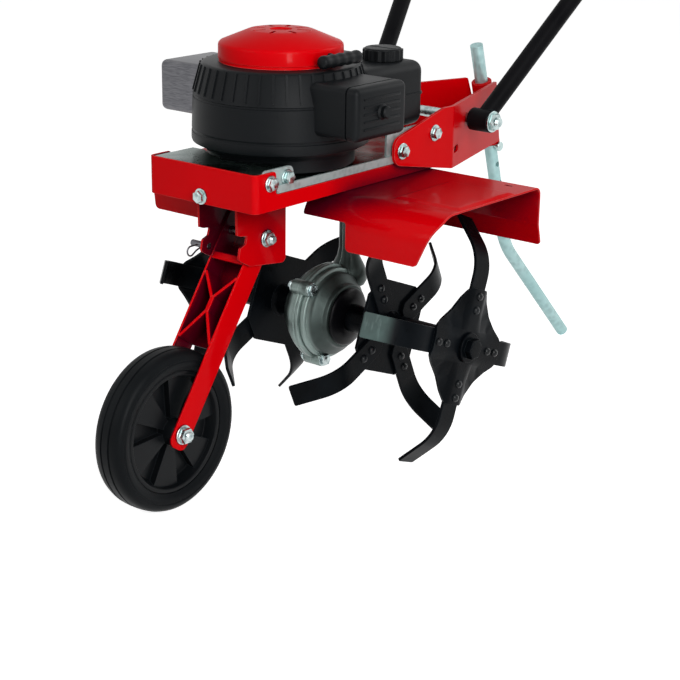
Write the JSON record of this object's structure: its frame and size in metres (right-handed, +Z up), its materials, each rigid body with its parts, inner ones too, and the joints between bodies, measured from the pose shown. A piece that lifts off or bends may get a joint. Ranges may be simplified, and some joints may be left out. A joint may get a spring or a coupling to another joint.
{
  "type": "walk-behind tiller",
  "caption": "Walk-behind garden tiller with bent tines on a worm-driven shaft, sheet tine guards, a fold-up front wheel, a drag bar and a handlebar over a small engine.",
  "frame": {"origin": "on the ground under the middle of the whole machine's box", "axes": "+X to the machine's left, -Y the way it drives, +Z up"},
  "size_m": [0.574, 1.303, 0.915],
  "materials": {
    "red_paint": "gloss",
    "black_paint": "satin",
    "black_plastic": "matte",
    "tyre_rubber": "matte",
    "soft_rubber": "matte",
    "zinc": "satin",
    "galvanised": "satin",
    "cast_aluminium": "cast",
    "steel": "satin",
    "bronze": "satin"
  },
  "bodies": {
    "chassis": {"chassis_frame": "red_paint", "engine_plate": "zinc", "guard_left": "red_paint", "guard_right": "red_paint", "wheel_bracket": "red_paint", "fork_pivot_bolt": "zinc", "gearbox_half_left": "cast_aluminium", "gearbox_half_right": "cast_aluminium", "shaft_bearing_left": "steel", "shaft_bearing_right": "steel", "seal_cap_left": "black_plastic", "seal_cap_right": "black_plastic", "worm_bearing": "steel", "drive_belt": "soft_rubber", "crankcase": "black_paint", "blower_housing": "black_plastic", "recoil_cover": "red_paint", "fuel_tank": "black_plastic", "air_cleaner": "black_plastic", "muffler": "steel", "handle_bracket": "red_paint", "handle_pivot_rod": "zinc"},
    "fork": {"wheel_fork": "red_paint", "wheel_axle": "zinc"},
    "wheel": {"wheel_tyre": "tyre_rubber", "wheel_rim": "black_plastic"},
    "lock_pin": {"lock_pin": "zinc", "lock_clip": "steel"},
    "rotor": {"worm_wheel": "bronze", "tine_shaft": "black_paint", "tine_hub_left": "black_paint", "tine_hub_right": "black_paint", "tine_outer_left_1": "black_paint", "tine_outer_left_2": "black_paint", "tine_outer_left_3": "black_paint", "tine_outer_left_4": "black_paint", "tine_outer_right_1": "black_paint", "tine_outer_right_2": "black_paint", "tine_outer_right_3": "black_paint", "tine_outer_right_4": "black_paint", "tine_inner_left_1": "black_paint", "tine_inner_left_2": "black_paint", "tine_inner_left_3": "black_paint", "tine_inner_left_4": "black_paint", "tine_inner_right_1": "black_paint", "tine_inner_right_2": "black_paint", "tine_inner_right_3": "black_paint", "tine_inner_right_4": "black_paint"},
    "worm": {"worm_shaft": "steel", "worm_pulley": "cast_aluminium"},
    "crank": {"crankshaft": "steel", "crank_pulley": "cast_aluminium"},
    "starter": {"starter_grip": "black_plastic"},
    "cap": {"fuel_cap": "black_plastic"},
    "drag": {"drag_bar": "galvanised", "drag_pin": "zinc"},
    "handle": {"handlebar": "black_paint", "grip_left": "soft_rubber", "grip_right": "soft_rubber"},
    "throttle": {"throttle_lever": "black_plastic"}
  },
  "joints": [
    {"name": "fork_swing", "type": "hinge", "parent": "chassis", "child": "fork", "pos_m": [0, -0.4055, 0.312], "axis": [-1, 0, 0], "range_deg": [0, 75]},
    {"name": "wheel_spin", "type": "hinge", "parent": "fork", "child": "wheel", "pos_m": [0, -0.5515, 0.1], "axis": [1, 0, 0], "continuous": true},
    {"name": "lock_pin_slide", "type": "slide", "parent": "chassis", "child": "lock_pin", "axis": [-1, 0, 0], "range_m": [-0.012, 0]},
    {"name": "crank_spin", "type": "hinge", "parent": "chassis", "child": "crank", "pos_m": [0, -0.3435, 0.376], "axis": [0, 0, 1], "continuous": true},
    {"name": "worm_spin", "type": "hinge", "parent": "chassis", "child": "worm", "pos_m": [0, -0.2075, 0.278], "axis": [0, 0, 1], "continuous": true},
    {"name": "tine_spin", "type": "hinge", "parent": "chassis", "child": "rotor", "pos_m": [0, -0.2535, 0.178], "axis": [1, 0, 0], "continuous": true},
    {"name": "starter_pull", "type": "slide", "parent": "chassis", "child": "starter", "axis": [1, 0, 0], "range_m": [0, 0.35], "stiffness_N_per_m": 40},
    {"name": "fuel_cap_turn", "type": "hinge", "parent": "chassis", "child": "cap", "pos_m": [0.038, -0.1915, 0.504], "axis": [0, 0, 1], "range_deg": [0, 90]},
    {"name": "drag_bar_slide", "type": "slide", "parent": "chassis", "child": "drag", "axis": [0, 0.2874, -0.9578], "range_m": [0, 0.06]},
    {"name": "handlebar_tilt", "type": "hinge", "parent": "chassis", "child": "handle", "pos_m": [0, -0.0485, 0.414], "axis": [1, 0, 0], "range_deg": [-12, 12]},
    {"name": "throttle_squeeze", "type": "hinge", "parent": "handle", "child": "throttle", "pos_m": [-0.258, 0.5185, 0.898], "axis": [1, 0, 0], "range_deg": [0, 20], "stiffness_Nm_per_rad": 0.6}
  ],
  "couplings": [
    {"joint": "worm_spin", "follows": "crank_spin", "ratio": 0.59615},
    {"joint": "tine_spin", "follows": "crank_spin", "ratio": -0.03726}
  ]
}
